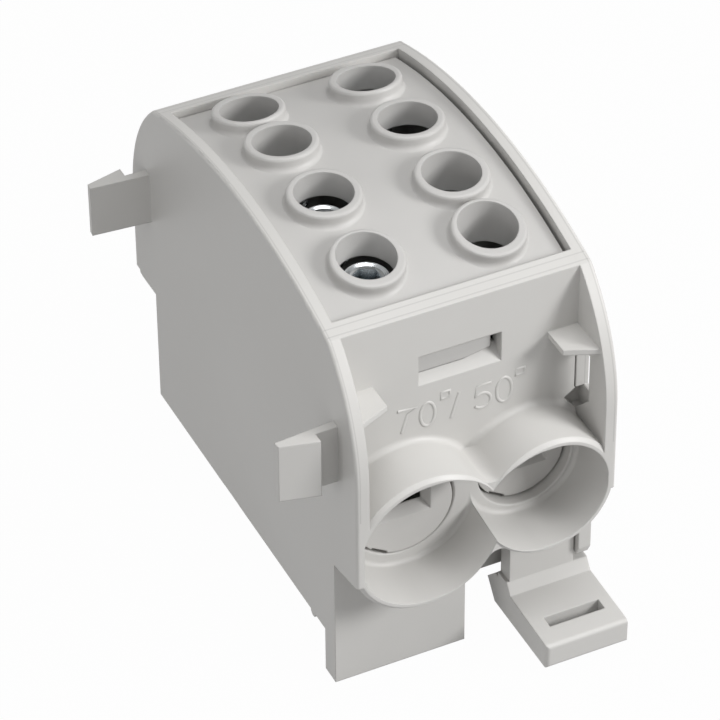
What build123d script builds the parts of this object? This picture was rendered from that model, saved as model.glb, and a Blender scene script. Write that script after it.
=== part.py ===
# Two pole distribution block that clips on a top hat rail. Millimetres, Z up.
# X runs along the rail, the front entries face -Y and the cover faces +Z.
# Heights are measured from the sole of the fixed foot while modelling. The
# files are written with the origin in the middle of the rail seat.
from build123d import *
from collections import namedtuple
from math import asin, degrees, sqrt
import os

os.makedirs("parts", exist_ok=True)

# Housing
width = 45.0            # along the rail
half_depth = 42.7       # middle to the front plane of walls and hoods
apex_z = 74.0           # top of the side walls
arch_r = 102.6          # radius of their arched top edge
ridge_y = 32.9          # front face of the recessed panel
brow_z = 46.7           # where the curved brow turns upright
lower_half = 34.4       # middle to the front of the lower body
base_z = 8.6            # underside, which sits on the rail
wall = 2.2
wall_round = 0.5        # outer edge of the side walls
panel_t = 3.0
floor_t = 2.4
skirt_wide_z = 26.6     # lower corner of the side wall beside the wide entry
skirt_narrow_z = 30.5   # and beside the narrow entry
wide_fall = 1.5         # fall of a skirt from the front to the lower body
narrow_fall = 0.3
step_z = 24.0           # top of the thicker lower body

# Conductor entries
wide_x, wide_z = -10.0, 31.2
wide_hood_r = 12.9
wide_disc_r, wide_disc_y = 8.4, 33.6
wide_bore_d, wide_mouth = 12.4, 9.3
narrow_x, narrow_z = 11.3, 32.6
narrow_hood_r = 11.2
narrow_disc_r, narrow_disc_y = 7.8, 31.6
narrow_bore_d, narrow_mouth = 10.8, 9.8
rim_t = 1.2             # wall of a hood at its front
rim_round = 0.6
pocket_draft = 0.6      # pocket narrower at its floor
pocket_round = 0.8      # round corner between its floor and wall
pocket_floor = 33.4     # middle to the floor round the disc
pocket_shift = 1.2      # each pocket also reaches this far towards the other
pocket_side = 21.2      # where the side walls cut the pockets off
hood_fillet = 1.0       # soft foot of a hood on the panel
valley_r = 2.2          # round valley between the two hoods
seat_lead = 0.2         # lead into the disc seat
disc_gap = 0.45         # dark ring round a guide disc
disc_t = 1.8
sleeve_step = 0.85      # disc edge outside its sleeve
sleeve_lead = 0.25      # sleeve wider than the bore behind it
notch_w, notch_t = 3.2, 0.45            # shallow index notch in its edge
wide_drop = 1.5         # mouth's lower edge below the disc's middle
narrow_drop = 2.6
mouth_h = 6.6
boss_t = 1.6            # collar behind the panel round each entry
boss_wall = 1.2

# Clamp screws and the collared holes above them
screw_x = 10.1
wide_near, wide_far = 5.85, 20.9        # spaced pair over a wide bore
narrow_near, narrow_far = 9.5, 21.9     # close pair over a narrow bore
hole_d = 9.5
collar_d = 12.0
collar_rise = 2.1
collar_deep = 7.6       # long collars over the narrow bores, rim to end
collar_round = 0.45
collar_foot = 1.0       # soft foot on the cover
cut_below = 9.0         # holes are cut this far below the block's top
collar_sink = 0.25      # its lowest point below the crown of the cover
screw_d = 8.0
screw_len = 20.0
screw_gap = 0.05
socket_af = 4.0
socket_deep = 5.0

# Cover
cover_recess = 1.5
cover_t = 2.4
cover_gap = 0.12
cover_slack = 0.6       # wider gap along the right wall
window_low, window_high = 56.8, 60.2
window_x0, window_x1 = -7.2, 7.0
sill_fall = 2.3
sill_share = 0.8        # part of the panel's thickness that the sill slopes
tongue_t = 1.6
catch_back = 1.4        # catch behind the panel's face
catch_gap = 0.1         # catch above the sill
catch_x0, catch_x1 = 1.1, 5.8           # where its lower edge rises, and its right end
catch_rise = 0.9

# Metal block
block_low, block_high = 21.2, 62.2
block_side_gap = 1.4
bore_web = 1.2          # half of the web between front and rear bores
bore_lead = 0.8
block_end_gap = 0.4
post_w = 5.0            # how far the side posts reach under the block
post_half = 4.0         # half width of the middle post
post_short = 4.0        # posts shorter than the block at each end

# Rail, fixed foot, hook and latch
rail_w = 35.0
rail_t = 1.0
rail_gap = 0.35
foot_t = 3.7
foot_x1 = 0.5
hook_t = 3.0
hook_inset = 5.0        # from the sides of the block
hook_line = 0.06        # faint relief of the underside over it
hook_reach = 2.2
hook_lip_t = 0.8
hook_nib = 0.6
hook_deep = 2.4
bead_r = 0.9
bead_y = 26.3
latch_x0 = 7.9
latch_front = 48.6
latch_low, latch_high = 2.2, 7.2
tab_t = 3.0
tab_proud = 0.2         # tab face ahead of the lower body
bend_run, bend_rise = 1.3, 2.2          # slope between tab and handle
tab_inset = 0.5         # tab inside the handle's left edge
bay_deep = 5.5          # lower body's face to the back of the open bay round the latch
bay_wall = 0.8
bay_cheek = 1.5
nose_reach = 2.3
hinge_z = 18.0
tab_over = 2.0          # tab's top above the hinge line
latch_gap = 0.3
latch_round = 0.7
shoulder_y = 35.6       # right wall's lower front edge beside the latch
shoulder_low = 12.5
shoulder_chamfer = 2.4
slot_w, slot_t = 9.9, 2.2
slot_edge = 4.0
slot_off = 0.3          # slot right of the handle's middle

# Side couplings: arms on the left, windows in the right wall
arm_low, arm_high = 43.9, 54.7
rear_arm_low = 45.1
arm_reach = 10.2
arm_y = 34.6
arm_t = 1.7
arm_taper = 0.9
barb_out = 2.0
barb_gap = 3.7          # barb to wall, for the next block's wall
port_w = 4.2
port_line_w, port_line_deep = 0.3, 0.9  # groove down the corner beside a window
port_low, port_high = 44.4, 53.6
pit_w, pit_drop = 2.1, 1.5              # dark pit under a window: its reach and fall along the panel
pit_h, pit_y = 4.1, 4.0                 # its height, and its reach along the wall
pit_deep = 1.4
gusset_x, gusset_y = 5.3, 5.1
gusset_flare = 2.5      # extra reach at the wall
gusset_t = 1.0
gusset_top = 57.3

half_w = width / 2
inner_w = half_w - wall
lap = 0.5               # how far panels and floor run into the side walls
arc_share = 1 - sqrt(0.5)               # middle of a quarter arc, as a share of its radius
panel_in = ridge_y - panel_t
boss_in = panel_in - boss_t
floor_top = base_z + floor_t
rail_front = -(lower_half - foot_t - rail_gap)
rail_rear = rail_front + rail_w
block_x = inner_w - block_side_gap
block_y = boss_in - block_end_gap
tab_face = -lower_half - tab_proud
tab_back = tab_face + tab_t
tab_top = hinge_z + tab_over
bay_top = tab_top + 2 * latch_gap
bay_back = lower_half - bay_deep

Entry = namedtuple("Entry", "x z hood_r disc_r disc_y bore_d mouth drop")
wide = Entry(wide_x, wide_z, wide_hood_r, wide_disc_r, wide_disc_y,
             wide_bore_d, wide_mouth, wide_drop)
narrow = Entry(narrow_x, narrow_z, narrow_hood_r, narrow_disc_r, narrow_disc_y,
               narrow_bore_d, narrow_mouth, narrow_drop)

Screw = namedtuple("Screw", "x y down")
screws = [Screw(-screw_x, -wide_far, 4.0), Screw(-screw_x, -wide_near, 5.2),
          Screw(-screw_x, narrow_near, 8.4), Screw(-screw_x, narrow_far, 8.4),
          Screw(screw_x, -narrow_far, 8.0), Screw(screw_x, -narrow_near, 8.4),
          Screw(screw_x, wide_near, 6.0), Screw(screw_x, wide_far, 5.2)]


def arch(y, drop=0.0):
    """Height of the arched edge at y, or of the curve a drop below it."""
    r = arch_r - drop
    return apex_z - arch_r + sqrt(r * r - y * y)


ridge_z = arch(ridge_y)


def save(shape, name):
    """Write one piece, with the origin in the middle of the rail seat."""
    seat = Pos(0, -(rail_front + rail_rear) / 2, -base_z)
    export_step(seat * shape, f"parts/{name}.step")


def box(x0, x1, y0, y1, z0, z1):
    return Pos((x0 + x1) / 2, (y0 + y1) / 2, (z0 + z1) / 2) * Box(x1 - x0, y1 - y0, z1 - z0)


def along_x(outline, x0, x1):
    """Solid from a closed line in the Y-Z plane, between x0 and x1."""
    face = make_face(Plane.YZ * outline)
    return Pos(x0, 0, 0) * extrude(face, amount=x1 - x0, dir=(1, 0, 0))


def profile_x(points, x0, x1):
    return along_x(Polyline(*points, close=True), x0, x1)


def plate_z(points, z0, z1):
    """Plate from points in the X-Y plane, between z0 and z1."""
    face = make_face(Polyline(*points, close=True))
    return Pos(0, 0, z0) * extrude(face, amount=z1 - z0, dir=(0, 0, 1))


def plate_y(points, y0, y1):
    """Plate from points in the X-Z plane, between y0 and y1."""
    face = make_face(Plane.XZ * Polyline(*points, close=True))
    return Pos(0, y0, 0) * extrude(face, amount=y1 - y0, dir=(0, 1, 0))


def rod_y(x, z, r, y0, y1, r1=None):
    """Round bar along Y, or a cone from radius r at y0 to r1 at y1."""
    solid = Cylinder(r, y1 - y0) if r1 is None else Cone(r, r1, y1 - y0)
    return Pos(x, (y0 + y1) / 2, z) * Rot(-90, 0, 0) * solid


def rod_z(x, y, r, z0, z1):
    return Pos(x, y, (z0 + z1) / 2) * Cylinder(r, z1 - z0)


def revolved(points, arcs):
    """Solid turned about Y from radius and Y pairs.

    Each arc is given as the number of the point where it starts and a point halfway along it.
    """
    lines = [Line(points[-1], points[0])]
    for i in range(len(points) - 1):
        if i in arcs:
            lines.append(ThreePointArc(points[i], arcs[i], points[i + 1]))
        else:
            lines.append(Line(points[i], points[i + 1]))
    return revolve(make_face(Curve() + lines), Axis.Y)


def turned(shape):
    """The same shape half a turn about Z, for the rear of the block."""
    return Rot(0, 0, 180) * shape


def side_wall(x0, x1, front_skirt, front_fall, rear_skirt, rear_fall):
    """Side wall: arch, curved brows, upright ends, skirts and lower body."""
    run, rise = half_depth - ridge_y, ridge_z - brow_z
    r = (run * run + rise * rise) / (2 * run)
    mid_z = (ridge_z + brow_z) / 2
    mid_y = half_depth - r + sqrt(r * r - (rise / 2) ** 2)
    outline = Curve() + [
        ThreePointArc((-ridge_y, ridge_z), (0, apex_z), (ridge_y, ridge_z)),
        ThreePointArc((ridge_y, ridge_z), (mid_y, mid_z), (half_depth, brow_z)),
        Polyline((half_depth, brow_z), (half_depth, rear_skirt),
                 (lower_half, rear_skirt - rear_fall), (lower_half, base_z),
                 (-lower_half, base_z), (-lower_half, front_skirt - front_fall),
                 (-half_depth, front_skirt), (-half_depth, brow_z)),
        ThreePointArc((-half_depth, brow_z), (-mid_y, mid_z), (-ridge_y, ridge_z)),
    ]
    shape = along_x(outline, x0, x1)
    rims = shape.edges().group_by(Axis.X)[0 if x0 < 0 else -1]
    return fillet(rims.filter_by(lambda e: abs(e.center().Y) > half_depth - 5 or e.center().Z > ridge_z)
                  .filter_by(lambda e: e.center().Z > front_skirt), wall_round)


def hood(e):
    """Round hood of an entry before its pocket is cut, with a soft foot."""
    r = e.hood_r
    bend = hood_fillet * arc_share
    points = [(0, -half_depth), (r - rim_round, -half_depth), (r, -half_depth + rim_round),
              (r, -ridge_y - hood_fillet), (r + hood_fillet, -ridge_y),
              (r + hood_fillet, -ridge_y + lap), (0, -ridge_y + lap)]
    return Pos(e.x, 0, e.z) * revolved(points, {3: (r + bend, -ridge_y - bend)})


def valley(s):
    """Round filling between the two hoods, above them (s=1) or below them (s=-1)."""
    dx, dz = narrow.x - wide.x, narrow.z - wide.z
    span = sqrt(dx * dx + dz * dz)
    ra, rb = wide.hood_r + valley_r, narrow.hood_r + valley_r
    along = (span * span + ra * ra - rb * rb) / (2 * span)
    across = s * sqrt(ra * ra - along * along)
    x = wide.x + (along * dx - across * dz) / span
    z = wide.z + (along * dz + across * dx) / span
    web = plate_y([(wide.x, wide.z), (x, z), (narrow.x, narrow.z)],
                  -half_depth + rim_round, -ridge_y + lap)
    return web - rod_y(x, z, valley_r, -half_depth, -ridge_y + 1)


def pocket(e, shift=0.0):
    """Room in front of a guide disc: slight draft and a round corner at its floor."""
    r = e.hood_r - rim_t
    foot = r - pocket_draft
    bend = pocket_round * arc_share
    points = [(0, -half_depth - 0.01), (r, -half_depth - 0.01), (foot, -pocket_floor - pocket_round),
              (foot - pocket_round, -pocket_floor), (0, -pocket_floor)]
    return Pos(e.x + shift, 0, e.z) * revolved(points, {2: (foot - bend, -pocket_floor - bend)})


def pockets():
    """Both pockets, which run together in the middle."""
    cut = pocket(wide) + pocket(wide, pocket_shift) + pocket(narrow) + pocket(narrow, -pocket_shift)
    return cut & box(-pocket_side, pocket_side, -half_depth - 1, -ridge_y, base_z, apex_z)


def end_panel():
    """Recessed panel, thicker lower body, hoods, bosses and gussets of one end."""
    side = inner_w + lap
    shape = profile_x([(-ridge_y, base_z), (-ridge_y, ridge_z), (-panel_in, arch(panel_in)),
                       (-panel_in, base_z)], -side, side)
    shape += box(-side, side, -lower_half, -panel_in, base_z, step_z)
    hoods = hood(wide) + hood(narrow) + valley(1) + valley(-1)
    shape += hoods & box(-half_w + wall_round, half_w - wall_round, -half_depth, -ridge_y + lap,
                         base_z, apex_z)
    for e in (wide, narrow):
        shape += rod_y(e.x, e.z, e.disc_r + disc_gap + boss_wall, -ridge_y + lap, -boss_in)
    for s in (-1, 1):
        shape += plate_z([(s * (inner_w - gusset_x), -ridge_y + lap), (s * side, -ridge_y + lap),
                          (s * side, -ridge_y - gusset_y - gusset_flare),
                          (s * (inner_w - gusset_x), -ridge_y - gusset_y)],
                         gusset_top - gusset_t, gusset_top)
    return shape


def end_cuts():
    """Funnels with their disc seats, and the window for the cover's tongue."""
    cut = pockets()
    cut += box(window_x0, window_x1, -ridge_y - 1, -panel_in + 1, window_low, window_high)
    sill = panel_t * sill_share
    cut += profile_x([(-ridge_y - 0.01, window_low - sill_fall), (-ridge_y - 0.01, window_low + 0.1),
                      (-ridge_y + sill, window_low + 0.1), (-ridge_y + sill, window_low)],
                     window_x0, window_x1)
    for e in (wide, narrow):
        throat = e.disc_r + disc_gap
        seat = -e.disc_y + disc_t + 0.02
        cut += rod_y(e.x, e.z, throat + seat_lead, -pocket_floor - 0.01, -pocket_floor + seat_lead, throat)
        cut += rod_y(e.x, e.z, throat, -pocket_floor - 0.1, seat)
        cut += rod_y(e.x, e.z, e.disc_r - sleeve_step + 0.1, seat - 0.1, -boss_in + 0.1)
    return cut


def coupling_arm(s, low):
    """Snap arm on the left wall, with its barb turned outwards."""
    root, tip = -half_w + lap, -half_w - arm_reach
    near, far, peak = arm_y, arm_y + arm_t, arm_y + arm_t + barb_out
    catch = -half_w - barb_gap
    return plate_z([(root, s * near), (tip, s * (near + arm_taper)),
                    (tip + 0.1, s * (far + 0.4)), (catch, s * peak), (catch, s * far),
                    (root, s * far)], low, arm_high)


def rail_hook():
    """Fixed hook that reaches under the rail's far flange."""
    y = rail_rear + rail_gap
    lip = base_z - rail_t - rail_gap
    return profile_x([(y, floor_top), (y, lip), (y - hook_reach, lip),
                      (y - hook_reach, lip - hook_lip_t), (y - hook_nib, lip - hook_deep),
                      (y + hook_t, lip - hook_deep), (y + hook_t, floor_top)],
                     -half_w + hook_inset, half_w - hook_inset)


def housing():
    shape = side_wall(-half_w, -inner_w, skirt_wide_z, wide_fall, skirt_narrow_z, narrow_fall)
    shape += side_wall(inner_w, half_w, skirt_narrow_z, narrow_fall, skirt_wide_z, wide_fall)
    shape += end_panel() + turned(end_panel())
    side = inner_w + lap
    shape += box(-side, side, -panel_in - lap, panel_in + lap, base_z, floor_top)
    # Back and roof of the bay round the latch
    shape += box(foot_x1 - bay_cheek, side, -max(panel_in + lap, bay_back + bay_cheek), bay_wall - bay_back,
                 base_z, bay_top + bay_cheek)
    # Posts that carry the metal block
    post_y = block_y - post_short
    for x0, x1 in ((-side, -block_x + post_w), (-post_half, post_half), (block_x - post_w, side)):
        shape += box(x0, x1, -post_y, post_y, floor_top - lap, block_low)
    shape += box(-half_w, foot_x1, -lower_half, -lower_half + foot_t, 0, floor_top)
    y = rail_rear + rail_gap
    shape -= box(-half_w - 1, half_w + 1, y - hook_reach - rail_gap, y + hook_t,
                 base_z - 1, base_z + hook_line)
    shape += rail_hook()
    bead = Pos(-half_w + wall / 2, -bead_y, base_z) * Rot(0, 90, 0) * Cylinder(bead_r, wall)
    shape += bead
    # Shoulder of the right wall beside the latch
    y0, y1 = -lower_half + lap, -shoulder_y
    shape += profile_x([(y0, skirt_narrow_z + lap), (y1, skirt_narrow_z + lap),
                        (y1, shoulder_low), (-lower_half, shoulder_low - shoulder_chamfer),
                        (y0, shoulder_low - shoulder_chamfer)], inner_w, half_w)
    shape += coupling_arm(-1, arm_low) + coupling_arm(1, rear_arm_low)
    shape -= end_cuts()
    shape -= turned(end_cuts())
    for s in (-1, 1):
        # Window for the next block's arm, a groove down the corner beside it and a pit at its foot
        y0, y1 = sorted((s * ridge_y, s * (ridge_y + port_w)))
        shape -= box(inner_w, half_w + 1, y0, y1, port_low, port_high)
        y0, y1 = sorted((s * (ridge_y - port_line_deep), s * (ridge_y + 0.1)))
        shape -= box(inner_w - port_line_w, inner_w + 0.01, y0, y1, port_low, port_high)
        y0, y1 = sorted((s * (ridge_y - pit_deep), s * (ridge_y + 0.5)))
        shape -= plate_y([(inner_w + 0.02, port_low), (inner_w - pit_w, port_low - pit_drop),
                          (inner_w + 0.02, port_low - pit_h)], y0, y1)
        pit_back = ridge_y - pit_deep
        shape -= profile_x([(s * pit_back, port_low + 0.01), (s * (ridge_y + pit_y), port_low + 0.01),
                            (s * ridge_y, port_low - pit_h), (s * pit_back, port_low - pit_h)],
                           inner_w, inner_w + pit_deep)
    # Open bay for the latch, and room for its heel and the handle's travel
    shape -= box(foot_x1, inner_w, -lower_half - 1, -bay_back, base_z - 1, bay_top)
    heel = tab_back + latch_gap
    shape -= profile_x([(-lower_half - 2, base_z + 1.3), (-lower_half + 0.2, base_z + 2.6),
                        (heel + 1.0, base_z + 2.6), (heel + 4.0, base_z),
                        (heel + 4.0, base_z - 1), (-lower_half - 2, base_z - 1)],
                       inner_w - lap, half_w + 1)
    return shape


def arc_band(top, low, half_y, x0, x1):
    """Curved sheet between two curves, top and low below the arched edge."""
    outline = Curve() + [
        ThreePointArc((-half_y, arch(half_y, top)), (0, arch(0, top)), (half_y, arch(half_y, top))),
        Line((half_y, arch(half_y, top)), (half_y, arch(half_y, low))),
        ThreePointArc((half_y, arch(half_y, low)), (0, arch(0, low)), (-half_y, arch(half_y, low))),
        Line((-half_y, arch(half_y, low)), (-half_y, arch(half_y, top))),
    ]
    return along_x(outline, x0, x1)


def cover_tongue():
    """Snap tongue behind the front panel, with its catch in the window."""
    back = -panel_in + cover_gap
    root = arch(panel_in, cover_recess + cover_t) + 0.6
    nib = -ridge_y + catch_back
    sill_back = -ridge_y + panel_t * sill_share
    low = window_low + catch_gap
    nib_low = low - (sill_back - nib) * sill_fall / (panel_t * sill_share)
    shape = profile_x([(back, root), (back, window_high - catch_gap), (nib, window_high - catch_gap),
                       (nib, nib_low), (sill_back, low), (back, low), (back, low - 1),
                       (back + tongue_t, low - 1), (back + tongue_t, root)],
                      window_x0 + catch_gap, catch_x1)
    return shape - plate_y([(catch_x0, nib_low), (catch_x1 + 0.01, nib_low + catch_rise),
                            (catch_x1 + 0.01, nib_low - 1), (catch_x0, nib_low - 1)], nib - 1, back)


def collar(s):
    """Collar square to the cover's curve, with a soft foot and a rounded rim."""
    r, sink, c = collar_d / 2, collar_sink, collar_round
    foot, rim = collar_foot * arc_share, c * arc_share
    points = [(0, -cover_t / 2), (r + collar_foot, -cover_t / 2), (r + collar_foot, -sink),
              (r, collar_foot - sink), (r, collar_rise - c), (r - rim, collar_rise - rim),
              (r - c, collar_rise), (0, collar_rise)]
    arcs = {2: (r + foot, foot - sink)}
    tilt = degrees(asin(s.y / (arch_r - cover_recess)))
    return Pos(s.x, s.y, arch(s.y, cover_recess)) * Rot(90 - tilt, 0, 0) * revolved(points, arcs)


def cover():
    x0, x1, half_y = -inner_w + cover_gap, inner_w - cover_slack, panel_in - cover_gap
    shape = arc_band(cover_recess, cover_recess + cover_t, half_y, x0, x1)
    tubes = arc_band(cover_recess + lap, cover_recess - collar_rise + collar_deep, half_y, x0, x1)
    for s in screws:
        shape += collar(s)
        if s.x * s.y < 0:
            shape += rod_z(s.x, s.y, collar_d / 2, block_high - cut_below, apex_z) & tubes
    shape += cover_tongue() + turned(cover_tongue())
    for s in screws:
        shape -= rod_z(s.x, s.y, hole_d / 2, block_high - cut_below, apex_z + 6)
    return shape


def contact_block():
    """Metal block with four blind bores and a tapped hole for each screw."""
    shape = box(-block_x, block_x, -block_y, block_y, block_low, block_high)
    shape = chamfer(shape.edges().filter_by(Axis.Z), 0.6)
    for e in (wide, narrow):
        r = e.bore_d / 2
        bore = rod_y(e.x, e.z, r, -block_y - 1, -bore_web)
        bore += rod_y(e.x, e.z, r + bore_lead, -block_y - 0.01, -block_y + bore_lead, r)
        shape -= bore
        shape -= turned(bore)
    for s in screws:
        low = wide_z if s.x * s.y > 0 else narrow_z
        shape -= rod_z(s.x, s.y, screw_d / 2 + screw_gap, low, block_high + 1)
    return shape


def clamp_screw(s):
    """Set screw with a hexagon socket, shown backed out near its collar."""
    top = arch(s.y) - cover_recess + collar_rise - s.down
    body = chamfer(Cylinder(screw_d / 2, screw_len).edges(), 0.7)
    socket = extrude(RegularPolygon(socket_af / sqrt(3), 6), amount=socket_deep + 1)
    body -= Pos(0, 0, screw_len / 2 - socket_deep) * socket
    return Pos(s.x, s.y, top - screw_len / 2) * body


def guide(e):
    """Guide disc with a tapered square mouth, a sleeve and an index notch."""
    shape = rod_y(e.x, e.z, e.disc_r, -e.disc_y, -e.disc_y + disc_t)
    back, end = -e.disc_y + disc_t, -boss_in - 0.25
    sleeve = rod_y(e.x, e.z, e.disc_r - sleeve_step, back - 0.2, end)
    shape += sleeve - rod_y(e.x, e.z, e.bore_d / 2 + sleeve_lead, back, end + 1)
    mid = e.z - e.drop + mouth_h / 2
    near = Pos(e.x, -e.disc_y - 0.01, mid) * Rot(90, 0, 0) * Rectangle(e.mouth, mouth_h)
    far = Pos(e.x, back + 0.01, mid + 0.4) * Rot(90, 0, 0) * Rectangle(e.mouth - 2, mouth_h - 2)
    shape -= loft([near, far])
    notch = Rot(0, 32, 0) * Pos(0, 0, -e.disc_r) * Box(notch_w, disc_t, 2 * notch_t)
    return shape - Pos(e.x, -e.disc_y + disc_t / 2, e.z) * notch


def rail_latch():
    """Handle plate, hook nose and spring tab in one."""
    nose = rail_front + nose_reach
    heel = base_z - 0.25
    shape = profile_x([(-latch_front, latch_low), (-latch_front, latch_high - 0.3),
                       (tab_face - bend_run, latch_high + 0.2), (tab_face, latch_high + bend_rise),
                       (tab_back, latch_high + bend_rise), (tab_back, heel), (nose - 2.6, heel),
                       (nose, base_z - 2.9), (nose - 2.6, latch_low)], latch_x0, half_w)
    front = shape.edges().group_by(Axis.Y)[0]
    shape = fillet(front.filter_by(Axis.X) + front.filter_by(Axis.Z).sort_by(Axis.X)[:1], latch_round)
    shape += box(latch_x0 + tab_inset, inner_w - latch_gap, tab_face, tab_back, latch_high, tab_top)
    mid = (latch_x0 + half_w) / 2 + slot_off
    y0 = -latch_front + slot_edge
    shape -= box(mid - slot_w / 2, mid + slot_w / 2, y0, y0 + slot_t, latch_low - 1, latch_high + 1)
    return shape


save(housing(), "housing")
save(cover(), "cover")
save(contact_block(), "contact_block")
for number, screw in enumerate(screws, 1):
    save(clamp_screw(screw), f"clamp_screw_{number}")
for name, entry in (("wide", wide), ("narrow", narrow)):
    save(guide(entry), f"guide_front_{name}")
    save(turned(guide(entry)), f"guide_rear_{name}")
save(rail_latch(), "rail_latch")
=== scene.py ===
"""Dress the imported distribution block: finishes, relief marks, screw threads, studio and camera.

Lengths in the dataclasses are millimetres, and those of the lamps, the floor and the camera's
range are metres. Points are written as they are measured on the block: X along the rail from the
middle of the block, Y from its middle towards the rear, Z up from the sole of the foot.
"""
from __future__ import annotations

import logging
import math
from collections.abc import Callable
from dataclasses import dataclass
from enum import Enum
from functools import cache

import bmesh
import bpy
from mathutils import Matrix, Vector

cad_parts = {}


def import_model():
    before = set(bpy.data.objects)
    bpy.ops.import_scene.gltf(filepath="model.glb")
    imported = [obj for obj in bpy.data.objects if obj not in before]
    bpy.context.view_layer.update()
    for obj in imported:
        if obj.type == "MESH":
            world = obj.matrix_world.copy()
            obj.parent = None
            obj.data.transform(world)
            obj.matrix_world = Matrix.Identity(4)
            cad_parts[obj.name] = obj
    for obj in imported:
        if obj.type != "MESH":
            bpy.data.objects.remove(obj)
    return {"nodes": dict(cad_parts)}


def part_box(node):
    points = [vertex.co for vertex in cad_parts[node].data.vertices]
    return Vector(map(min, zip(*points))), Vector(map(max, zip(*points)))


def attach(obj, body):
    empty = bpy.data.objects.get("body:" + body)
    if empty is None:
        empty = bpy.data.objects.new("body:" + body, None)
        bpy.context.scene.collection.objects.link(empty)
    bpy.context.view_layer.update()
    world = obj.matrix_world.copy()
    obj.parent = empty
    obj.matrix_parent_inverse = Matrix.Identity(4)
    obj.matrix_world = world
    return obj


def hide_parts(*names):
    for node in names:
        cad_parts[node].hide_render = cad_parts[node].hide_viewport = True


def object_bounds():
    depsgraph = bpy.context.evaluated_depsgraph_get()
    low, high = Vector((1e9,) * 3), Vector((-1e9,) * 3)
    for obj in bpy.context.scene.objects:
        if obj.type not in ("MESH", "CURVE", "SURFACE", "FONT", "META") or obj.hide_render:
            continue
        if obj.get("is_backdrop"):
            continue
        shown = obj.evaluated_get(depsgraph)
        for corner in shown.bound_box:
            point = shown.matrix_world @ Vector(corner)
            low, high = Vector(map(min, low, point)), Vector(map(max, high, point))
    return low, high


Colour = tuple[float, float, float]
Stroke = list[tuple[float, float]]
Ring = list[bmesh.types.BMVert]

MM = 0.001
# From the origin of the measured points to the middle of the rail seat, the frame's origin.
SEAT = Vector((0.0, 12.85, -8.6))
SMOOTH_BELOW = math.radians(40.0)
# A wave texture multiplies its coordinate by this.
WAVE_FACTOR = 20.0
WHITE = (1.0, 1.0, 1.0)
SCREWS = 8

log = logging.getLogger("distribution_block")


class End(Enum):
    """An end of the block: its entries are the same after half a turn about Z."""

    FRONT = 1
    REAR = -1


class Across(Enum):
    """A level axis of the block, with its place in a vector."""

    X = 0
    Y = 1


def at(x: float, y: float, z: float) -> Vector:
    """Turn a point measured on the block, in millimetres, into the frame's metres.

    Args:
        x: Distance along the rail from the middle.
        y: Distance towards the rear from the middle.
        z: Height above the sole of the foot.

    Returns:
        The point in the frame, in metres.
    """
    return (Vector((x, y, z)) + SEAT) * MM


def scene_object(name: str, data: bpy.types.ID) -> bpy.types.Object:
    """Put a mesh, curve, lamp or camera into the scene.

    Args:
        name: Name of the object.
        data: What the object shows.

    Returns:
        The linked object.
    """
    obj = bpy.data.objects.new(name, data)
    bpy.context.scene.collection.objects.link(obj)
    return obj


def mesh_object(name: str, bm: bmesh.types.BMesh) -> bpy.types.Object:
    """Make a scene object from a finished bmesh and smooth its gentle edges.

    Args:
        name: Name of the object and its mesh.
        bm: The mesh in metres, freed afterwards.

    Returns:
        The linked object.
    """
    bmesh.ops.recalc_face_normals(bm, faces=bm.faces)
    for face in bm.faces:
        face.smooth = True
    for edge in bm.edges:
        edge.smooth = len(edge.link_faces) == 2 and edge.calc_face_angle(0.0) < SMOOTH_BELOW
    mesh = bpy.data.meshes.new(name)
    bm.to_mesh(mesh)
    bm.free()
    return scene_object(name, mesh)


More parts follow.
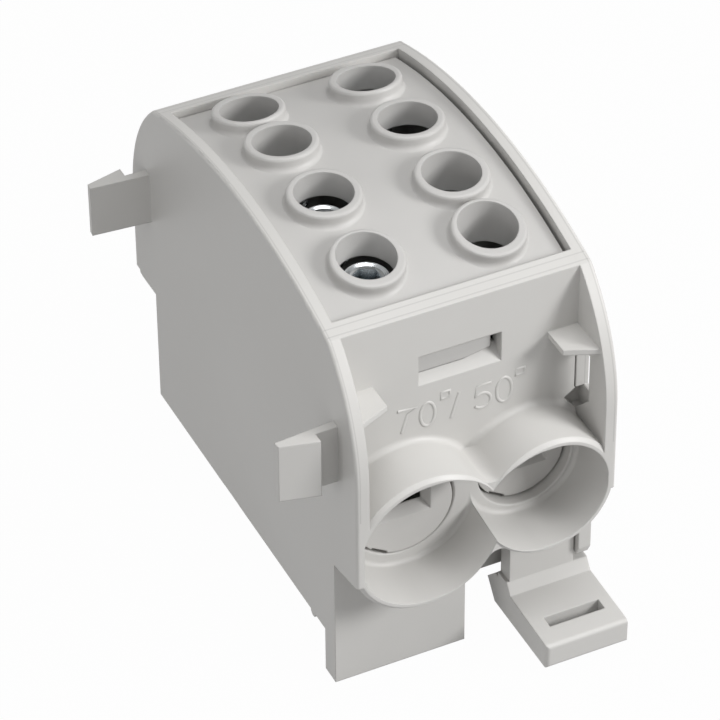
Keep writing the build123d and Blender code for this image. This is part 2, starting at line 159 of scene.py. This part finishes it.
class NodeSheet:
    """A material's or world's node tree, with short calls to add and join its nodes."""

    def __init__(self, owner: bpy.types.Material | bpy.types.World) -> None:
        """Start with no nodes.

        Args:
            owner: The new material or world.
        """
        owner.use_nodes = True
        self.owner = owner
        self.tree = owner.node_tree
        self.tree.nodes.clear()

    @classmethod
    def for_material(cls, name: str) -> NodeSheet:
        """Start a new material's sheet."""
        return cls(bpy.data.materials.new(name))

    def add(self, kind: str, **settings: object) -> bpy.types.Node:
        """Add a node and set its sockets or properties by name.

        Args:
            kind: The node's type name.
            **settings: Socket values, written with _ for a space, or node properties.

        Returns:
            The new node.
        """
        node = self.tree.nodes.new(kind)
        for key, value in settings.items():
            label = key.replace("_", " ")
            if label in node.inputs:
                node.inputs[label].default_value = value
            else:
                setattr(node, key, value)
        return node

    def link(self, source: bpy.types.NodeSocket, target: bpy.types.NodeSocket) -> None:
        """Link two sockets."""
        self.tree.links.new(source, target)

    def join(self, source: bpy.types.Node, output: str, target: bpy.types.Node, socket: str
             ) -> None:
        """Link an output of one node to an input of another, by name."""
        self.link(source.outputs[output], target.inputs[socket])

    def texture(self, kind: str, **settings: object) -> bpy.types.Node:
        """Add a texture that is laid out by the object's own coordinates.

        Args:
            kind: The texture node's type name.
            **settings: As for add.

        Returns:
            The texture node.
        """
        node = self.add(kind, **settings)
        self.join(self.add("ShaderNodeTexCoord"), "Object", node, "Vector")
        return node

    def chain(self, socket: bpy.types.NodeSocket, steps: list[tuple[str, float]]
              ) -> bpy.types.NodeSocket:
        """Pass a value through a row of math nodes.

        Args:
            socket: Where the value comes from.
            steps: Each node's operation and second value.

        Returns:
            The last node's output.
        """
        for operation, second in steps:
            node = self.add("ShaderNodeMath", operation=operation)
            self.link(socket, node.inputs[0])
            node.inputs[1].default_value = second
            socket = node.outputs["Value"]
        return socket

    def combine(self, operation: str, first: bpy.types.NodeSocket, *others: bpy.types.NodeSocket
                ) -> bpy.types.NodeSocket:
        """Bring several values together in a row of math nodes.

        Args:
            operation: What each node does with two values.
            first: The first value.
            *others: The values that follow.

        Returns:
            The last node's output.
        """
        for other in others:
            node = self.add("ShaderNodeMath", operation=operation)
            self.link(first, node.inputs[0])
            self.link(other, node.inputs[1])
            first = node.outputs["Value"]
        return first

    def ramp(self, source: bpy.types.Node, output: str, stops: list[tuple[float, Colour]]
             ) -> bpy.types.Node:
        """Add a colour ramp fed by a node.

        Args:
            source: Node that gives the factor.
            output: Its output.
            stops: Place and colour of each stop, in order.

        Returns:
            The ramp node.
        """
        node = self.add("ShaderNodeValToRGB")
        points = node.color_ramp.elements
        for point, (place, colour) in zip(points, stops, strict=True):
            point.position = place
            point.color = (*colour, 1.0)
        self.join(source, output, node, "Fac")
        return node

    def spread(self, source: bpy.types.Node, output: str, **limits: float) -> bpy.types.Node:
        """Add a node that maps a value from one range to another.

        Args:
            source: Node that gives the value.
            output: Its output.
            **limits: From_Min, From_Max, To_Min and To_Max, each 0 or 1 where left out.

        Returns:
            The mapping node, with its Result.
        """
        node = self.add("ShaderNodeMapRange", **limits)
        self.join(source, output, node, "Value")
        return node

    def finished(self, shader: bpy.types.Node, output: str) -> bpy.types.Material:
        """Send a shader to the material's surface.

        Args:
            shader: The last shader node.
            output: Its output.

        Returns:
            The finished material.
        """
        self.join(shader, output, self.add("ShaderNodeOutputMaterial"), "Surface")
        return self.owner


@dataclass(frozen=True)
class GrooveShadeLine:
    """Painted shade of a fine mould groove: a thin darker line over the upward faces, the same on
    both sides of the block's middle.
    """

    axis: Across
    distance_mm: float
    above_mm: float
    half_w_mm: float = 0.11
    most_sideways: float = 0.3

    def share(self, sheet: NodeSheet) -> bpy.types.NodeSocket:
        """Nodes that are 1 in the line and 0 beside it.

        Args:
            sheet: The material's sheet.

        Returns:
            The output that has the share.
        """
        place = sheet.add("ShaderNodeNewGeometry")
        parts = sheet.add("ShaderNodeSeparateXYZ")
        facing = sheet.add("ShaderNodeSeparateXYZ")
        sheet.join(place, "Position", parts, "Vector")
        sheet.join(place, "True Normal", facing, "Vector")
        inside = sheet.chain(parts.outputs[self.axis.name], [
            ("SUBTRACT", SEAT[self.axis.value] * MM), ("ABSOLUTE", 0.0),
            ("SUBTRACT", self.distance_mm * MM), ("ABSOLUTE", 0.0),
            ("LESS_THAN", self.half_w_mm * MM)])
        high = sheet.chain(parts.outputs["Z"], [("GREATER_THAN", (self.above_mm + SEAT.z) * MM)])
        upward = sheet.chain(facing.outputs["X"], [("ABSOLUTE", 0.0),
                                                   ("LESS_THAN", self.most_sideways)])
        return sheet.combine("MULTIPLY", inside, high, upward)


@dataclass(frozen=True)
class MouldedPlastic:
    """Satin moulded plastic: faint clouds in its colour, fine spark-eroded grain, soft edges, and
    painted groove shade along its lines.
    """

    name: str
    colour: Colour
    roughness: float = 0.46
    glossier: float = 0.04
    duller: float = 0.05
    refraction: float = 1.5
    cloud: float = 0.025
    cloud_scale: float = 38.0
    cloud_stops: tuple[float, float] = (0.32, 0.68)
    grain_mm: float = 0.22
    grain_depth_mm: float = 0.004
    grain_strength: float = 0.35
    edge_mm: float = 0.3
    lines: tuple[GrooveShadeLine, ...] = ()
    line_shade: float = 0.86

    @cache
    def material(self) -> bpy.types.Material:
        """Build the node material, once for each finish.

        Returns:
            The material.
        """
        sheet = NodeSheet.for_material(self.name)
        clouds = sheet.texture("ShaderNodeTexNoise", Scale=self.cloud_scale, Detail=3.0,
                               Roughness=0.55)
        low = tuple(c * (1 - self.cloud) for c in self.colour)
        high = tuple(min(1.0, c * (1 + self.cloud)) for c in self.colour)
        tint = sheet.ramp(clouds, "Fac", list(zip(self.cloud_stops, (low, high))))
        gloss = sheet.spread(clouds, "Fac", From_Min=0.3, From_Max=0.7,
                             To_Min=self.roughness - self.glossier,
                             To_Max=self.roughness + self.duller)
        grain = sheet.texture("ShaderNodeTexNoise", Scale=1.0 / (self.grain_mm * MM), Detail=2.0)
        edge = sheet.add("ShaderNodeBevel", samples=6, Radius=self.edge_mm * MM)
        bump = sheet.add("ShaderNodeBump", Strength=self.grain_strength,
                         Distance=self.grain_depth_mm * MM)
        sheet.join(grain, "Fac", bump, "Height")
        sheet.join(edge, "Normal", bump, "Normal")
        colour = tint.outputs["Color"]
        for line in self.lines:
            colour = self.shade_groove(sheet, line, colour)
        skin = sheet.add("ShaderNodeBsdfPrincipled", IOR=self.refraction)
        sheet.link(colour, skin.inputs["Base Color"])
        sheet.join(gloss, "Result", skin, "Roughness")
        sheet.join(bump, "Normal", skin, "Normal")
        return sheet.finished(skin, "BSDF")

    def shade_groove(self, sheet: NodeSheet, line: GrooveShadeLine, colour: bpy.types.NodeSocket
              ) -> bpy.types.NodeSocket:
        """Paint the shade of a mould groove: darken a colour in its line.

        Args:
            sheet: The material's sheet.
            line: The line.
            colour: The output that has the colour.

        Returns:
            The output that has the colour with the line in it.
        """
        shade = sheet.add("ShaderNodeMapRange", To_Min=1.0, To_Max=self.line_shade)
        sheet.link(line.share(sheet), shade.inputs["Value"])
        scaled = sheet.add("ShaderNodeVectorMath", operation="SCALE")
        sheet.link(colour, scaled.inputs["Vector"])
        sheet.join(shade, "Result", scaled, "Scale")
        return scaled.outputs["Vector"]


@dataclass(frozen=True)
class PlatedMetal:
    """Zinc or tin plating: faint turning marks round an axis, a cloudy sheen, and painted shade
    that darkens its hollows.
    """

    name: str
    colour: Colour
    painted_shade_tint: Colour
    roughness: float = 0.3
    glossier: float = 0.06
    duller: float = 0.12
    stain: float = 0.88
    stain_scale: float = 420.0
    stain_stops: tuple[float, float] = (0.35, 0.7)
    marks_mm: float = 0.35
    mark_depth_mm: float = 0.006
    mark_strength: float = 0.4
    painted_shade_mm: float = 3.5
    painted_shade_stops: tuple[float, float] = (0.4, 0.8)

    @cache
    def material(self) -> bpy.types.Material:
        """Build the node material, once for each finish.

        Returns:
            The material.
        """
        sheet = NodeSheet.for_material(self.name)
        clouds = sheet.texture("ShaderNodeTexNoise", Scale=self.stain_scale, Detail=4.0,
                               Roughness=0.6)
        low = tuple(c * self.stain for c in self.colour)
        tint = sheet.ramp(clouds, "Fac", list(zip(self.stain_stops, (low, self.colour))))
        gloss = sheet.spread(clouds, "Fac", To_Min=self.roughness - self.glossier,
                             To_Max=self.roughness + self.duller)
        marks = sheet.texture("ShaderNodeTexWave", Scale=1.0 / (self.marks_mm * MM * WAVE_FACTOR),
                              Distortion=2.5, Detail=2.0, bands_direction="Z")
        bump = sheet.add("ShaderNodeBump", Strength=self.mark_strength,
                         Distance=self.mark_depth_mm * MM)
        sheet.join(marks, "Fac", bump, "Height")
        # Painted shade: where ambient occlusion finds the surface enclosed, as in sockets, holes
        # and creases, the colour is darkened towards the shade tint.
        occlusion = sheet.add("ShaderNodeAmbientOcclusion", Distance=self.painted_shade_mm * MM,
                           only_local=True)
        shade = sheet.ramp(occlusion, "AO", list(zip(self.painted_shade_stops, (self.painted_shade_tint, WHITE))))
        shaded_colour = sheet.add("ShaderNodeVectorMath", operation="MULTIPLY")
        sheet.link(tint.outputs["Color"], shaded_colour.inputs[0])
        sheet.link(shade.outputs["Color"], shaded_colour.inputs[1])
        skin = sheet.add("ShaderNodeBsdfPrincipled", Metallic=1.0)
        sheet.join(shaded_colour, "Vector", skin, "Base Color")
        sheet.join(gloss, "Result", skin, "Roughness")
        sheet.join(bump, "Normal", skin, "Normal")
        return sheet.finished(skin, "BSDF")


@dataclass(frozen=True)
class PaleBackdrop:
    """Floor finish that the camera and reflections see as near white, with a soft shadow in it."""

    name: str = "pale_backdrop"
    darkest: float = 0.34
    palest: float = 0.36
    shown_white: float = 0.98

    @cache
    def material(self) -> bpy.types.Material:
        """Build the node material, once for each finish.

        Returns:
            The material.
        """
        sheet = NodeSheet.for_material(self.name)
        clouds = sheet.texture("ShaderNodeTexNoise", Scale=3.0)
        tint = sheet.ramp(clouds, "Fac", [(0.3, (self.darkest,) * 3), (0.7, (self.palest,) * 3)])
        matt = sheet.add("ShaderNodeBsdfDiffuse")
        sheet.join(tint, "Color", matt, "Color")
        glow = sheet.add("ShaderNodeEmission", Strength=1.0)
        path = sheet.add("ShaderNodeLightPath")
        seen = sheet.combine("MAXIMUM", path.outputs["Is Camera Ray"],
                             path.outputs["Is Glossy Ray"])
        mix = sheet.add("ShaderNodeMixShader")
        sheet.link(sheet.chain(seen, [("MULTIPLY", self.shown_white)]), mix.inputs["Fac"])
        sheet.link(matt.outputs["BSDF"], mix.inputs[1])
        sheet.link(glow.outputs["Emission"], mix.inputs[2])
        return sheet.finished(mix, "Shader")


# Painted shade of the grooves along the side walls' tops and across the ridge band.
GROOVE_SHADE_LINES = (
    GrooveShadeLine(Across.X, distance_mm=21.85, above_mm=40.0),
    GrooveShadeLine(Across.Y, distance_mm=32.25, above_mm=60.0),
    GrooveShadeLine(Across.Y, distance_mm=30.9, above_mm=60.0),
)
HOUSING_PLASTIC = MouldedPlastic("housing_plastic", (0.575, 0.566, 0.548), lines=GROOVE_SHADE_LINES)
# The cover is given a darker grey than the housing.
COVER_PLASTIC = MouldedPlastic("cover_plastic", (0.505, 0.497, 0.484))
GUIDE_PLASTIC = MouldedPlastic("guide_plastic", (0.555, 0.545, 0.528), roughness=0.5)
# The contact metal is given a dull dark grey: its own plated tone, darkened further as painted
# shade for the block seen deep in the holes.
# The second colour of each metal is the tint of the painted shade in its hollows.
CONTACT_METAL = PlatedMetal("contact_metal", (0.35, 0.35, 0.34), (0.12, 0.17, 0.18), roughness=0.38)
SCREW_STEEL = PlatedMetal("screw_steel", (0.86, 0.89, 0.91), (0.34, 0.39, 0.41), roughness=0.2)


@dataclass(frozen=True)
class CarriedPieces:
    """The pieces that keep the frame's meshes: housing, latch, cover, guides and metal block."""

    shell: MouldedPlastic = HOUSING_PLASTIC
    cover: MouldedPlastic = COVER_PLASTIC
    guide: MouldedPlastic = GUIDE_PLASTIC
    block: PlatedMetal = CONTACT_METAL

    def finish_of(self, name: str) -> MouldedPlastic | PlatedMetal:
        """Choose the finish of a piece.

        Args:
            name: The piece's node name.

        Returns:
            Its finish.
        """
        if name.startswith("guide"):
            return self.guide
        return {"cover": self.cover, "contact_block": self.block}.get(name, self.shell)

    def dress(self, nodes: dict[str, bpy.types.Object]) -> None:
        """Give each piece its material.

        Args:
            nodes: The frame's objects by node name.
        """
        for name, obj in nodes.items():
            if name.startswith("clamp_screw"):
                continue
            finish = self.finish_of(name)
            obj.data.materials.clear()
            obj.data.materials.append(finish.material())
            log.info("dressed %s in %s", name, finish.name)


@dataclass
class SizeMarks:
    """Conductor sizes in fine relief on the panel above the entries, each with a small square."""

    end: End = End.FRONT
    panel_y: float = 32.9
    stroke_r: float = 0.36
    sunk: float = 0.2
    round_steps: int = 28
    closing_gap: float = 1e-6

    def strokes(self) -> list[Stroke]:
        """Centre lines of the marks as seen from the front.

        Returns:
            One list of X and Z points for each stroke; a closed one ends where it starts.
        """
        return [
            [(-10.8, 50.7), (-7.55, 50.5), (-9.1, 49.65), (-10.1, 46.2)],
            self.nought(-5.63, 48.45, 1.25, 2.3),
            self.square(-3.3, 50.55, 1.5, 1.3),
            [(-1.58, 46.2), (-0.2, 50.9)],
            self.five(2.2, 46.3, 3.5, 4.5),
            self.nought(7.6, 48.55, 1.3, 2.4),
            self.square(9.65, 50.6, 1.5, 1.2),
        ]

    def nought(self, x: float, z: float, rx: float, rz: float) -> Stroke:
        """Centre line of a nought about x, z, as a closed oval."""
        turns = [2 * math.pi * k / self.round_steps for k in range(self.round_steps + 1)]
        return [(x + rx * math.cos(t), z + rz * math.sin(t)) for t in turns]

    @staticmethod
    def five(x: float, z: float, w: float, h: float) -> Stroke:
        """Centre line of a five, whose parts are shares of its width and height.

        Args:
            x: Left of the figure.
            z: Foot of the figure.
            w: Its width.
            h: Its height.

        Returns:
            The flag, the stem and the round bowl as one open line.
        """
        bowl = [math.radians(a) for a in range(125, -146, -15)]
        r, cx, cz = 0.32 * h, x + 0.46 * w, z + 0.32 * h
        flag_and_stem = [(x + 0.9 * w, z + h), (x + 0.2 * w, z + h), (x + 0.12 * w, z + 0.56 * h)]
        return flag_and_stem + [(cx + 1.02 * r * math.cos(t), cz + r * math.sin(t)) for t in bowl]

    @staticmethod
    def square(x: float, z: float, w: float, h: float) -> Stroke:
        """Closed outline of a square with its lower left corner at x, z."""
        return [(x, z), (x + w, z), (x + w, z + h), (x, z + h), (x, z)]

    def build(self) -> bpy.types.Object:
        """Sweep each stroke as a half-sunk round line on the panel.

        Returns:
            The marks as one mesh object.
        """
        name = f"size_marks_{self.end.name.lower()}"
        curve = bpy.data.curves.new(name, "CURVE")
        curve.dimensions = "3D"
        curve.bevel_depth = self.stroke_r * MM
        curve.bevel_resolution = 3
        curve.use_fill_caps = True
        turn = self.end.value
        for points in self.strokes():
            closed = math.dist(points[0], points[-1]) < self.closing_gap
            if closed:
                points = points[:-1]
            spline = curve.splines.new("POLY")
            spline.points.add(len(points) - 1)
            spline.use_cyclic_u = closed
            for point, (x, z) in zip(spline.points, points):
                point.co = (*at(turn * x, turn * (-self.panel_y + self.sunk), z), 1.0)
        holder = scene_object(name, curve)
        bpy.context.view_layer.update()
        mesh = bpy.data.meshes.new_from_object(holder)
        bpy.data.objects.remove(holder)
        bpy.data.curves.remove(curve)
        for face in mesh.polygons:
            face.use_smooth = True
        return scene_object(name, mesh)

    def dress(self) -> None:
        """Build the marks in the housing's plastic and fix them to it."""
        obj = self.build()
        obj.data.materials.append(HOUSING_PLASTIC.material())
        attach(obj, "base")
        log.info("built %s", obj.name)


class TurnedMesh:
    """A mesh that is built ring by ring about an upright axis."""

    def __init__(self, foot: tuple[float, float, float], sides: int) -> None:
        """Start with no rings.

        Args:
            foot: Lowest point of the axis, in metres.
            sides: Number of vertices in each ring.
        """
        self.bm = bmesh.new()
        self.foot = foot
        self.sides = sides

    def vertex(self, radius: float, angle: float, z: float) -> bmesh.types.BMVert:
        """Add a vertex.

        Args:
            radius: Distance from the axis, in millimetres.
            angle: Angle about the axis, in radians.
            z: Height above the foot, in millimetres.

        Returns:
            The vertex.
        """
        x, y, low = self.foot
        reach = radius * MM
        return self.bm.verts.new((x + reach * math.cos(angle), y + reach * math.sin(angle),
                                  low + z * MM))

    def ring(self, radius_at: Callable[[float], float], z: float) -> Ring:
        """Add a ring of vertices at one height.

        Args:
            radius_at: Gives the radius at an angle.
            z: Height above the foot, in millimetres.

        Returns:
            The ring.
        """
        angles = (2 * math.pi * k / self.sides for k in range(self.sides))
        return [self.vertex(radius_at(angle), angle, z) for angle in angles]

    def wall(self, lower: Ring, upper: Ring) -> None:
        """Join two rings with a row of quads.

        Args:
            lower: One ring.
            upper: The next one.
        """
        for k in range(self.sides):
            n = (k + 1) % self.sides
            self.bm.faces.new((lower[k], lower[n], upper[n], upper[k]))

    def point(self, ring: Ring, z: float) -> None:
        """Close a ring to a point on the axis.

        Args:
            ring: The ring.
            z: Height of the point above the foot, in millimetres.
        """
        tip = self.vertex(0.0, 0.0, z)
        for k in range(self.sides):
            self.bm.faces.new((ring[k], ring[(k + 1) % self.sides], tip))


@dataclass
class ThreadedScrew:
    """Set screw with a real thread, chamfered ends, turned rings and a hexagon socket.

    Each turned ring has its radius and how far it lies below the screw's top.
    """

    number: int
    crest_r: float = 4.0
    thread_depth: float = 0.55
    pitch: float = 1.25
    crest_share: float = 0.12
    flank_share: float = 0.76
    chamfer: float = 0.4
    socket_af: float = 4.0
    socket_deep: float = 5.0
    socket_point: float = 1.0
    lead_w: float = 0.15
    lead_deep: float = 0.25
    sides: int = 48
    rows_per_turn: int = 8
    turned_rings: tuple[tuple[float, float], ...] = (
        (3.5, 0.0), (3.25, 0.14), (3.22, 0.02), (2.97, 0.16), (2.94, 0.04), (2.7, 0.17),
        (2.67, 0.05))

    def radius(self, angle: float, z: float, length: float) -> float:
        """Radius of the threaded surface.

        Args:
            angle: Angle about the screw's axis in radians.
            z: Height from the tip in millimetres.
            length: Length of the screw in millimetres.

        Returns:
            The radius in millimetres.
        """
        phase = (z / self.pitch - angle / (2 * math.pi)) % 1.0
        flank = (abs(2 * phase - 1) - self.crest_share) / self.flank_share
        depth = self.thread_depth * min(1.0, max(0.0, flank))
        chamfered = self.crest_r - max(0.0, self.chamfer - min(z, length - z))
        return min(self.crest_r - depth, chamfered)

    def hexagon(self, angle: float) -> float:
        """Distance from the axis to the socket's wall at an angle, in millimetres."""
        sector = (angle + math.pi / 6) % (math.pi / 3) - math.pi / 6
        return self.socket_af / 2 / math.cos(sector)

    def build(self, low: Vector, high: Vector) -> bpy.types.Object:
        """Make the screw between the corners of the solid it replaces.

        Args:
            low: Lowest corner of the frame's screw, in metres.
            high: Highest corner of the frame's screw, in metres.

        Returns:
            The screw as a mesh object.
        """
        centre = (low + high) / 2
        length = (high.z - low.z) / MM
        rows = round(length / self.pitch * self.rows_per_turn)
        turned = TurnedMesh((centre.x, centre.y, low.z), self.sides)
        rings = []
        for row in range(rows + 1):
            z = length * row / rows
            rings.append(turned.ring(lambda angle, z=z: self.radius(angle, z, length), z))
        for r, drop in self.turned_rings:
            rings.append(turned.ring(lambda angle, r=r: r, length - drop))
        rings.append(turned.ring(lambda angle: self.hexagon(angle) + self.lead_w, length))
        rings.append(turned.ring(self.hexagon, length - self.lead_deep))
        rings.append(turned.ring(self.hexagon, length - self.socket_deep))
        for lower, upper in zip(rings, rings[1:]):
            turned.wall(lower, upper)
        turned.bm.faces.new(reversed(rings[0]))
        turned.point(rings[-1], length - self.socket_deep - self.socket_point)
        return mesh_object(f"threaded_screw_{self.number}", turned.bm)

    def dress(self) -> None:
        """Put the threaded screw in place of the frame's plain one."""
        node = f"clamp_screw_{self.number}"
        obj = self.build(*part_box(node))
        obj.data.materials.append(SCREW_STEEL.material())
        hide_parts(node)
        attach(obj, f"screw_{self.number}")
        log.info("built %s", obj.name)


@dataclass(frozen=True)
class Lamp:
    """A soft square studio lamp that looks at the block, with its place and size in metres."""

    name: str
    place: tuple[float, float, float]
    size: float
    watts: float

    def light(self, target: Vector) -> None:
        """Hang the lamp.

        Args:
            target: The point it looks at, in metres.
        """
        data = bpy.data.lights.new(self.name, "AREA")
        data.size = self.size
        data.energy = self.watts
        obj = scene_object(self.name, data)
        obj.location = target + Vector(self.place)
        obj.rotation_euler = (target - obj.location).to_track_quat("-Z", "Y").to_euler()


@dataclass(frozen=True)
class Studio:
    """Pale floor, white surround, soft lamps and the camera at the photograph's angle."""

    azimuth: float = -25.523
    elevation: float = 39.196
    roll: float = -0.446
    eye: tuple[float, float, float] = (-224.63, -467.65, 456.14)
    focal_share: float = 4129.0 / 720.0
    sensor_w: float = 36.0
    nearest: float = 0.05
    farthest: float = 20.0
    ambient: float = 0.38
    floor_half: float = 3.0
    floor_gap: float = 0.0002
    lamps: tuple[Lamp, ...] = (
        Lamp("key", (0.64, -0.62, 0.45), size=0.32, watts=6.8),
        Lamp("top", (0.05, -0.17, 0.98), size=0.6, watts=4.7),
        Lamp("fill", (-0.95, -0.28, 0.16), size=0.6, watts=1.9),
    )

    def camera(self) -> None:
        """Set up the camera from its measured place and angles."""
        az, el, ro = (math.radians(a) for a in (self.azimuth, self.elevation, self.roll))
        back = Vector((math.sin(az) * math.cos(el), -math.cos(az) * math.cos(el), math.sin(el)))
        right = Vector((math.cos(az), math.sin(az), 0.0))
        up = back.cross(right)
        side = right * math.cos(ro) + up * math.sin(ro)
        top = up * math.cos(ro) - right * math.sin(ro)
        data = bpy.data.cameras.new("camera")
        data.sensor_width = self.sensor_w
        data.lens = self.focal_share * self.sensor_w
        data.clip_start, data.clip_end = self.nearest, self.farthest
        obj = scene_object("camera", data)
        turn = Matrix((side, top, back)).transposed().to_4x4()
        obj.matrix_world = Matrix.Translation(at(*self.eye)) @ turn
        bpy.context.scene.camera = obj

    def floor(self, low: Vector) -> None:
        """Lay the floor just under the lowest point of the block.

        Args:
            low: Lowest corner of the whole block, in metres.
        """
        bm = bmesh.new()
        bmesh.ops.create_grid(bm, x_segments=4, y_segments=4, size=self.floor_half)
        bmesh.ops.translate(bm, verts=bm.verts, vec=(0.0, 0.0, low.z - self.floor_gap))
        obj = mesh_object("floor", bm)
        obj.data.materials.append(PaleBackdrop().material())
        obj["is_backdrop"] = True

    def surround(self) -> None:
        """White surround for the camera and clear pieces, soft even light for the rest."""
        world = bpy.data.worlds.new("surround")
        bpy.context.scene.world = world
        sheet = NodeSheet(world)
        path = sheet.add("ShaderNodeLightPath")
        seen = sheet.combine("MAXIMUM", path.outputs["Is Camera Ray"],
                             path.outputs["Is Transmission Ray"])
        level = sheet.add("ShaderNodeMapRange", To_Min=self.ambient, To_Max=1.0)
        sheet.link(seen, level.inputs["Value"])
        sky = sheet.add("ShaderNodeBackground", Color=(*WHITE, 1.0))
        sheet.join(level, "Result", sky, "Strength")
        sheet.join(sky, "Background", sheet.add("ShaderNodeOutputWorld"), "Surface")

    def build(self, low: Vector, high: Vector) -> None:
        """Build the whole studio round the block.

        Args:
            low: Lowest corner of the block, in metres.
            high: Highest corner of the block, in metres.
        """
        self.camera()
        self.surround()
        self.floor(low)
        for lamp in self.lamps:
            lamp.light((low + high) / 2)
        bpy.context.scene.view_settings.view_transform = "Standard"
        log.info("built the studio")


def main() -> None:
    """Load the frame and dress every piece."""
    logging.basicConfig(level=logging.INFO, format="%(name)s: %(message)s")
    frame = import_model()
    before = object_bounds()
    CarriedPieces().dress(frame["nodes"])
    for end in End:
        SizeMarks(end).dress()
    for number in range(1, SCREWS + 1):
        ThreadedScrew(number).dress()
    Studio().build(*before)


if __name__ == "__main__":
    main()
